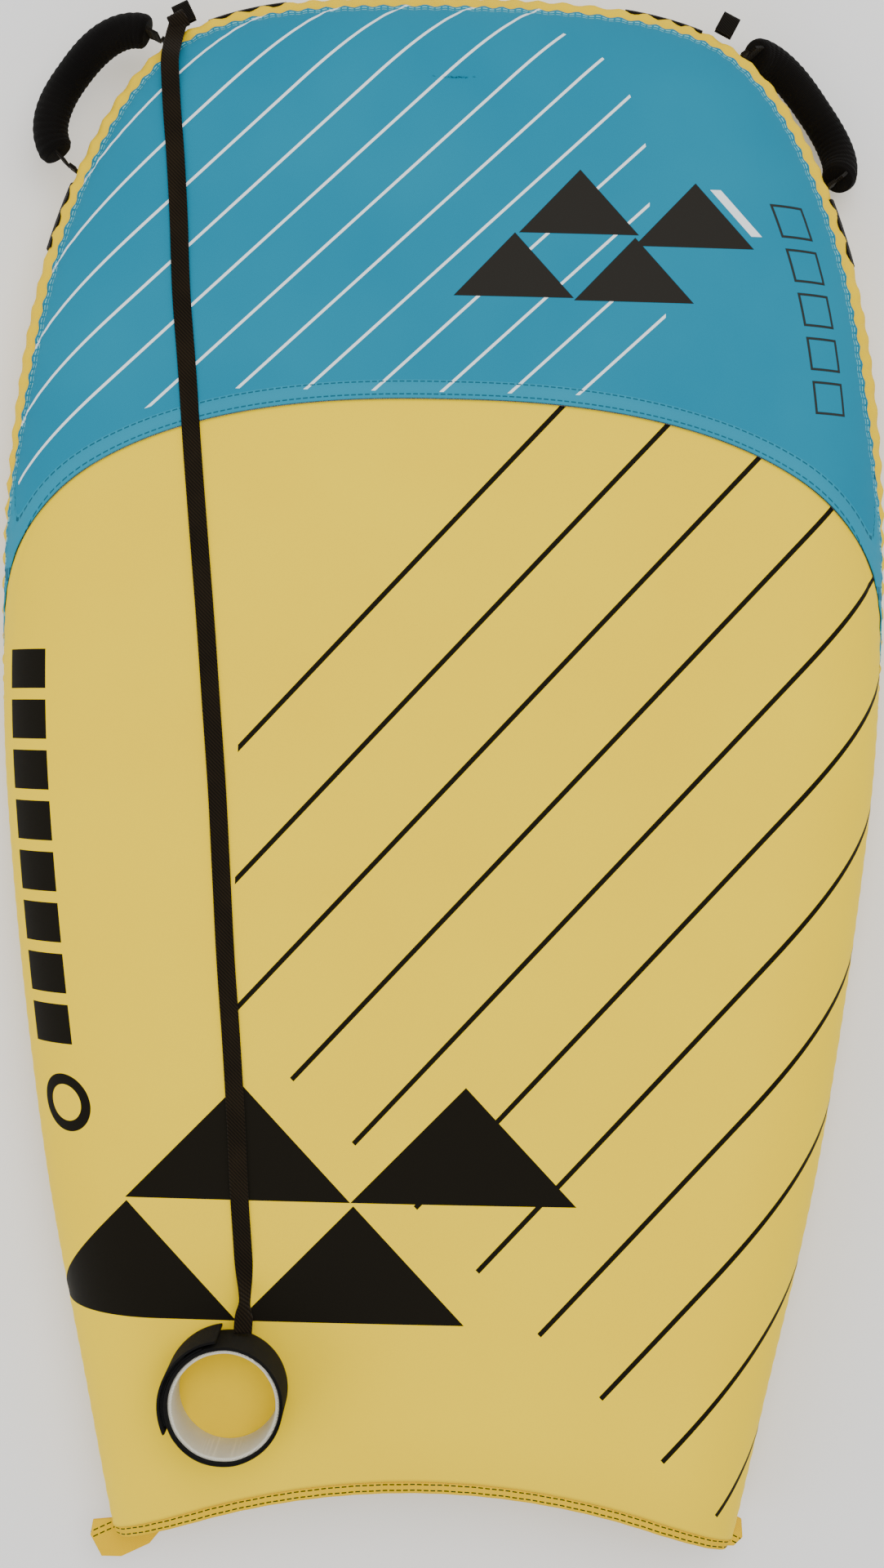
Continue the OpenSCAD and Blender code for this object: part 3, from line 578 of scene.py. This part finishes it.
ZIP_TAPE = plain_cloth("zip_tape_cloth", rgb(14, 48, 48), rgb(30, 66, 64), 0.9)
ZIP_TEETH = hard_material("zip_teeth_plastic", rgb(20, 44, 44), rgb(34, 60, 58))
METAL = hard_material("zip_metal", rgb(150, 150, 146), rgb(190, 190, 184), 0.3, 1.0)

# ---- CAD pieces that are shown as they are ---------------------------------------------------------------

CAD_LOOKS = {
    "bottom_panel": TEAL, "tail_panel": YELLOW, "tail_ear_left": TAPE, "tail_ear_right": TAPE,
    "valve_port_ring": BLACK_WEB, "bladder_top_film": FILM, "bladder_bottom_film": FILM,
    "bladder_tail_film": FILM, "bladder_webs": FILM, "valve_base": PLASTIC, "valve_seal": RUBBER,
    "valve_insert": PLASTIC, "valve_membrane": PALE_RUBBER, "valve_cap": PLASTIC, "valve_tether": RUBBER,
    "zip_tape_upper": ZIP_TAPE, "zip_tape_lower": ZIP_TAPE, "zip_teeth_upper": ZIP_TEETH,
    "zip_teeth_lower": ZIP_TEETH, "zip_end_stops": METAL, "zip_slider": METAL, "zip_puller": METAL,
    "left_anchor_webbing": BLACK_WEB, "right_anchor_webbing": BLACK_WEB, "left_grip_webbing": BLACK_WEB,
    "right_grip_webbing": BLACK_WEB, "left_grip_pad": FOAM, "right_grip_pad": FOAM,
    "left_leash_tab": BLACK_WEB, "right_leash_tab": BLACK_WEB,
}
for name, look in CAD_LOOKS.items():
    nodes[name].data.materials.clear()
    nodes[name].data.materials.append(look)


def finish(obj, look, body, slot, *replaced):
    obj.data.materials.append(look)
    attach(obj, body)
    if replaced:
        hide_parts(*replaced)
    return obj


# ---- Cover panels ----------------------------------------------------------------------------------------

DETAIL = 1.0


def pucker(run, away, reach, height, pitch):
    """Gathers that fade away from a seam."""
    wave = np.sin(2 * math.pi * run / pitch + 2.5 * smooth_noise(run / 17, away * 0, 3))
    return height * wave * np.exp(-np.maximum(away, 0) / reach)


def top_panel(name, start, end, look, slot, rows, rings, cols):
    """Deck or nose cover: the smooth surface with soft waves, gathers at the side seam and a pressed hem."""
    counts = [int(count * DETAIL) for count in (rows, rings, cols)]
    grid, flat, out, seam, run = panel(*counts, start, end)
    hem = hem_gap(flat)
    n = normals(grid)
    n[np.isnan(n)] = 0
    n *= np.where(n[..., 2:3] < 0, -1, 1)
    rise = 0.5 * smooth_noise(grid[..., 0] / 45, grid[..., 1] / 45, 7)
    rise += pucker(run, seam, reach=9, height=0.9, pitch=13)
    rise -= 1.4 * np.exp(-np.maximum(seam, 0) / 2.5)
    if name == "nose_cover":
        rise += 0.9 * np.exp(-np.maximum(hem, 0) / 40) + 0.5 * np.exp(-((hem - 6.5) / 4) ** 2)
        rise -= 0.5 * sum(np.exp(-(hem - row) ** 2) for row in HEM_ROWS)
        rise -= 0.8 * np.exp(-((seam - 6) / 2.5) ** 2)
    else:
        rise -= 0.6 * np.exp(-np.abs(hem) / 3)
    lifted = grid + n * rise[..., None]
    m, k = grid.shape[:2]
    obj = new_mesh(name, lifted, grid_faces(m, k))
    attribute(obj, "flat", np.concatenate([flat, out[..., None]], -1))
    attribute(obj, "edges", np.stack([hem, seam, run], -1))
    weld(obj)
    solidify(obj, 0.8)
    return finish(obj, look, "board", slot, slot.replace("fabric", "panel"))


top_panel("deck_cover", "tail", "hem", deck_material(), "deck_fabric", rows=300, rings=44, cols=90)
top_panel("nose_cover", "hem", "nose", nose_material(), "nose_fabric", rows=260, rings=44, cols=90)


def side_cover():
    """Gathered strip round the rails and the nose; it stands a little proud beside the upper seam."""
    n, bands = int(900 * DETAIL), int(24 * DETAIL)
    ks = np.linspace(0, 1, bands + 1)

    def t_at(k, s):
        return KEEL_SEAM + (seam_t(s) + 4 - KEEL_SEAM) * k

    ends = np.array([crossing(lambda m, k=k: t_at(k, m), "tail") for k in ks])
    share = np.linspace(-1, 1, n + 1)[:, None]
    s = ends * share
    grid = rail_pt(s, t_at(ks, s))
    nn = normals(grid)
    nn *= np.sign(np.sum(nn * -np.concatenate([inward(s), 0 * s[..., None]], -1), -1, keepdims=True))
    away = (1 - ks) * 70 + 0 * s
    ahead = ramp((900 - np.abs(s)) / 300)
    tuck = ramp((away - 1.5) / 7)
    proud = 2.4 * np.exp(-away / 18)
    rise = (pucker(s, away, reach=16, height=1.9, pitch=17) + proud) * ahead * tuck
    rise += pucker(s, away, reach=8, height=0.5, pitch=5.3) * tuck - 2.2 * (1 - tuck)
    obj = new_mesh("side_cover", grid + nn * rise[..., None], grid_faces(*grid.shape[:2]))
    solidify(obj, 0.8)
    return finish(obj, YELLOW, "board", "side_fabric", "side_panel")


side_cover()


def rounded_section(w, h, r, steps=4):
    """Rectangle w by h with round corners, centred."""
    pts = []
    for i, (sx, sy) in enumerate(((1, 1), (-1, 1), (-1, -1), (1, -1))):
        for k in range(steps + 1):
            a = math.radians(90 * i + 90 * k / steps)
            pts.append((sx * (w / 2 - r) + r * math.cos(a), sy * (h / 2 - r) + r * math.sin(a)))
    return np.array(pts)


TAPE_STEP = 2.5
TAPE_W, TAPE_T = 7.6, 2.6


def tail_binding(name, upper):
    """Tape folded over the seam round the tail's edge, drawn up a little by its stitching."""
    t_end = 4.0 if upper else KEEL_SEAM + 4
    ts = np.linspace(t_end, 90 if upper else -90, 16)
    half = []
    for t in ts:
        s = crossing(lambda m, t=t: t, "tail")
        half.append(rail_pt(np.array(s), np.array(t), 1.4))
    half = np.array(half)
    x = np.linspace(half[-1, 0], -half[-1, 0], 60)[1:-1]
    y = tail_edge_y(x)
    z = deck_z(x, y) - 1.4 if upper else lift(y) + tail_dip(x, y) / 2 + 1.4
    path = np.vstack([half, np.stack([x, y, z], -1), half[::-1] * (-1, 1, 1)])
    path = resample(path, TAPE_STEP)[0]
    path[:, 1] = tail_edge_y(path[:, 0])
    out = np.stack([-path[:, 0], TAIL_C - path[:, 1], 0 * path[:, 0]], -1)
    out /= np.linalg.norm(out, axis=1, keepdims=True)
    up = np.cross(out, frames(path)) * (1 if upper else -1)
    up /= np.linalg.norm(up, axis=1, keepdims=True)
    run = np.arange(len(path)) * TAPE_STEP
    centre = path + out * 3.9 + up * (0.25 * np.sin(run / 3.1))[:, None]
    obj = sweep(name, centre, out, up, rounded_section(TAPE_W, TAPE_T, 1.1))
    return finish(obj, TAPE, "board", "binding", name.replace("_tape", ""))


tail_binding("tail_binding_upper_tape", True)
tail_binding("tail_binding_lower_tape", False)

# ---- Grips -----------------------------------------------------------------------------------------------

GRIP_REACH, GRIP_R = 41.0, 12.0
GRIP_S, GRIP_ALONG = 198.0, 107.0
LEFT_DROOP, RIGHT_DROOP = 4, 45
GRIP_Z = float(mid_z(0.87 * HALF_L)) + 4
GRIP_ENDS = edge_pt(np.array([GRIP_S, GRIP_S + GRIP_ALONG]))
GRIP_SPAN = float(np.linalg.norm(GRIP_ENDS[1] - GRIP_ENDS[0]))
GRIP_DIR = np.append((GRIP_ENDS[1] - GRIP_ENDS[0]) / GRIP_SPAN, 0)
GRIP_OUT = np.array([-GRIP_DIR[1], GRIP_DIR[0], 0])
GRIP_FRONT = np.append(GRIP_ENDS[0], GRIP_Z) + GRIP_OUT


def grip_line(u, droop):
    """Centre line of the right grip, hanging by an angle about the line between its sewn ends."""
    a = np.radians(180 * u)
    x = GRIP_SPAN / 2 * (1 - np.sign(np.cos(a)) * np.abs(np.cos(a)) ** 0.8)
    y = GRIP_REACH * np.sin(a) ** 0.72
    fall = math.radians(droop)
    out = GRIP_OUT * math.cos(fall) + np.array([0, 0, -math.sin(fall)])
    return GRIP_FRONT + x[:, None] * GRIP_DIR + y[:, None] * out, out


def grip_sleeve(side, droop, body):
    """Padded sleeve with fine gathers across it, drawn in at both ends."""
    path, out = grip_line(np.linspace(0.095, 0.905, 260), droop)
    up = np.cross(GRIP_DIR, out)
    along = np.concatenate([[0], np.cumsum(np.linalg.norm(np.diff(path, axis=0), axis=1))])
    across = np.cross(np.repeat(up[None], len(path), 0), frames(path))
    ribs = 1 - 0.028 * np.abs(np.cos(math.pi * along / 4.6)) ** 3
    wrinkle = 1 + 0.03 * smooth_noise(along / 8, 0 * along, 11)
    ends = np.minimum(along, along[-1] - along)
    shrink = 0.8 + 0.2 * np.clip(ends / 4, 0, 1) ** 0.5
    a = np.linspace(0, 2 * math.pi, 28, endpoint=False)
    circle = np.stack([np.cos(a), np.sin(a)], -1)
    section = circle[None] * (GRIP_R * ribs * wrinkle * shrink)[:, None, None]
    if side == "left":
        path, across, up = path * (-1, 1, 1), across * (-1, 1, 1), up * (-1, 1, 1)
    obj = sweep(f"{side}_grip_cover", path, across, np.repeat(up[None], len(path), 0), section)
    finish(obj, SLEEVE, body, "webbing", f"{side}_grip_sleeve")


grip_sleeve("left", LEFT_DROOP, "left_grip")
grip_sleeve("right", RIGHT_DROOP, "right_grip")

# ---- Leash -----------------------------------------------------------------------------------------------

LEASH_W, LEASH_T = 12.0, 1.6
LEASH_PLAN = [(-188, 478, 8), (-187, 462, 4.5), (-185, 440, 2.6), (-182, 410, 1.8), (-179, 370, 1.4),
              (-176, 320, 1.2), (-171, 270, 1.2), (-166, 215, 1.2), (-160, 155, 1.2), (-155, 105, 1.2),
              (-150, 50, 1.2), (-145, -5, 1.2), (-141, -60, 1.2), (-137, -115, 1.2), (-132, -170, 1.2),
              (-128, -220, 1.2), (-125, -265, 1.2), (-122, -300, 1.2), (-120, -322, 3), (-119, -338, 9),
              (-119, -348, 15), (-119, -355.2, 20)]
LEASH_ROUTE = [(-185, 505, GRIP_Z + 22), (-187, 494, GRIP_Z + 26)]
LEASH_ROUTE += [(x, y, top_z(x, y) + h) for x, y, h in LEASH_PLAN]


def ribbed_section(w, t, ribs=5, steps=26):
    """Flat strap section with shallow ribs along its length."""
    half = np.linspace(-1, 1, steps)
    face = t / 2 * (0.72 + 0.28 * np.abs(np.cos(half * math.pi * ribs / 2)))
    face[[0, -1]] = t * 0.15
    top = np.stack([-half * w / 2, face], -1)
    return np.vstack([top, -top])


def leash():
    """Flat strap along the route, turned on its edge just before the cuff."""
    path, length = resample(LEASH_ROUTE, 2.0)
    d = frames(path)
    side = np.cross(d, [0, 0, 1.0])
    side /= np.linalg.norm(side, axis=1, keepdims=True)
    up = np.cross(side, d)
    share = np.linspace(0, 1, len(path))
    roll = math.radians(62) * ramp((share - 0.93) / 0.05) * (1 - ramp((share - 0.975) / 0.02))
    side, up = (side * np.cos(roll)[:, None] + up * np.sin(roll)[:, None],
                up * np.cos(roll)[:, None] - side * np.sin(roll)[:, None])
    obj = sweep("leash", path, side, up, ribbed_section(LEASH_W, LEASH_T))
    finish(obj, LEASH_WEB, "board", "leash", "leash_strap")
    return obj, path, length


def knot():
    """End of the leash sewn back on itself through the tab's loop."""
    a = np.linspace(0, 2 * math.pi, 40, endpoint=False)
    heading = np.array([-0.5, 0.866, 0])
    centre = np.array([-185, 507, GRIP_Z + 20.3])
    path = centre + heading * (5.2 * np.cos(a))[:, None] + np.array([0, 0, 1]) * (3.4 * np.sin(a))[:, None]
    tangent = np.roll(path, -1, 0) - np.roll(path, 1, 0)
    tangent /= np.linalg.norm(tangent, axis=1, keepdims=True)
    side = np.repeat(np.cross(heading, [0, 0, 1.0])[None], len(path), 0)
    section = ribbed_section(LEASH_W, LEASH_T)
    obj = sweep("leash_loop", path, side, np.cross(side, tangent), section, closed=True)
    return finish(obj, LEASH_WEB, "board", "leash", "leash_knot")


# ---- Cuff ------------------------------------------------------------------------------------------------

band_lo, band_hi = (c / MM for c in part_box("cuff_band"))
CUFF_C = (band_lo + band_hi) / 2
CUFF_OUTER = (band_hi.x - band_lo.x) / 2


RIM_SAG = 0.5


def cuff_ring(name, r_in, r_out, z_lo, z_hi, start, end):
    """Upright band between two radii, with soft edges and a slightly uneven rim."""
    closed = end - start >= 360
    n = int(200 * (end - start) / 360)
    a = np.radians(np.linspace(start, end, n, endpoint=not closed))
    radial = np.stack([np.cos(a), np.sin(a), 0 * a], -1)
    sag = RIM_SAG * (np.sin(3 * a + 1) + 0.6 * np.sin(7 * a))
    mid = (r_in + r_out) / 2
    path = np.array([CUFF_C.x, CUFF_C.y, (z_lo + z_hi) / 2]) + radial * mid
    thick = r_out - r_in
    section = rounded_section(thick, z_hi - z_lo, min(thick, 4) * 0.49)
    section = np.repeat(section[None], n, 0)
    section[..., 1] -= np.where(section[..., 1] > 0, np.abs(sag)[:, None], 0)
    up = np.repeat(np.array([[0, 0, 1.0]]), n, 0)
    return sweep(name, path, radial, up, section, closed=closed)


# Piece, look, body, slot, CAD node, distances from the band's outer face, margins below and above, arc
CUFF_LAYERS = [
    ("cuff_plush_lining", CUFF_IN, "board", "cuff_lining", "cuff_lining", (-4.9, -2.3), (0, 3.5), (0, 360)),
    ("cuff_outer_band", CUFF_OUT, "board", "cuff_fabric", "cuff_band", (-2.1, 0), (0, 0), (0, 360)),
    ("cuff_loops", LOOPS, "board", "hook_loop", "cuff_loop_patch", (0.3, 1.3), (2, 2), (112, 200)),
    ("cuff_hooks", LOOPS, "cuff_flap", "hook_loop", "cuff_hook_patch", (1.6, 2.4), (3, 3), (130, 200)),
    ("cuff_strap_end", CUFF_OUT, "cuff_flap", "cuff_fabric", "cuff_flap", (2.7, 4.3), (0, 0), (98, 206)),
]


def cuff():
    pieces = []
    for name, look, body, slot, node, (r_in, r_out), (below, above), (start, end) in CUFF_LAYERS:
        ring = cuff_ring(name, CUFF_OUTER + r_in, CUFF_OUTER + r_out, band_lo.z + below, band_hi.z - above,
                         start, end)
        pieces.append(finish(ring, look, body, slot, node))
    return pieces


leash_obj, leash_path, leash_length = leash()
leash_with = [knot()] + cuff()

# ---- Stage, light and camera -----------------------------------------------------------------------------

bpy.ops.mesh.primitive_plane_add(size=12, location=(0, 0, 0))
floor = bpy.context.object
floor.name = "floor"
floor_look = Mat("pale_floor", rough=0.9)
floor_look.colour((0.97, 0.97, 0.97, 1.0))
floor.data.materials.append(floor_look.mat)


def softbox(name, location, size, power):
    light = bpy.data.lights.new(name, "AREA")
    light.shape = "DISK"
    light.size = size
    light.energy = power
    obj = bpy.data.objects.new(name, light)
    obj.location = location
    obj.rotation_euler = (-Vector(location)).to_track_quat("-Z", "Y").to_euler()
    bpy.context.scene.collection.objects.link(obj)


softbox("overhead", location=(0.3, 0.5, 2.6), size=1.8, power=38)
softbox("fill", location=(-1.6, -1.0, 1.6), size=1.6, power=9)
world = bpy.data.worlds.new("studio")
world.use_nodes = True
world.node_tree.nodes["Background"].inputs[0].default_value = (1, 1, 1, 1)
world.node_tree.nodes["Background"].inputs[1].default_value = 0.9
bpy.context.scene.world = world

CAMERA_HEIGHT = 1.6
VIEW_HEIGHT = 1.066
CAMERA_ROLL = 1.25
camera = bpy.data.cameras.new("camera")
camera.sensor_fit = "VERTICAL"
camera.lens = camera.sensor_height * (CAMERA_HEIGHT - mid_z(0) * MM) / VIEW_HEIGHT
camera_obj = bpy.data.objects.new("camera", camera)
camera_obj.location = (0.002, 0.002, CAMERA_HEIGHT)
camera_obj.rotation_euler = (0, 0, math.radians(CAMERA_ROLL))
bpy.context.scene.collection.objects.link(camera_obj)
bpy.context.scene.camera = camera_obj
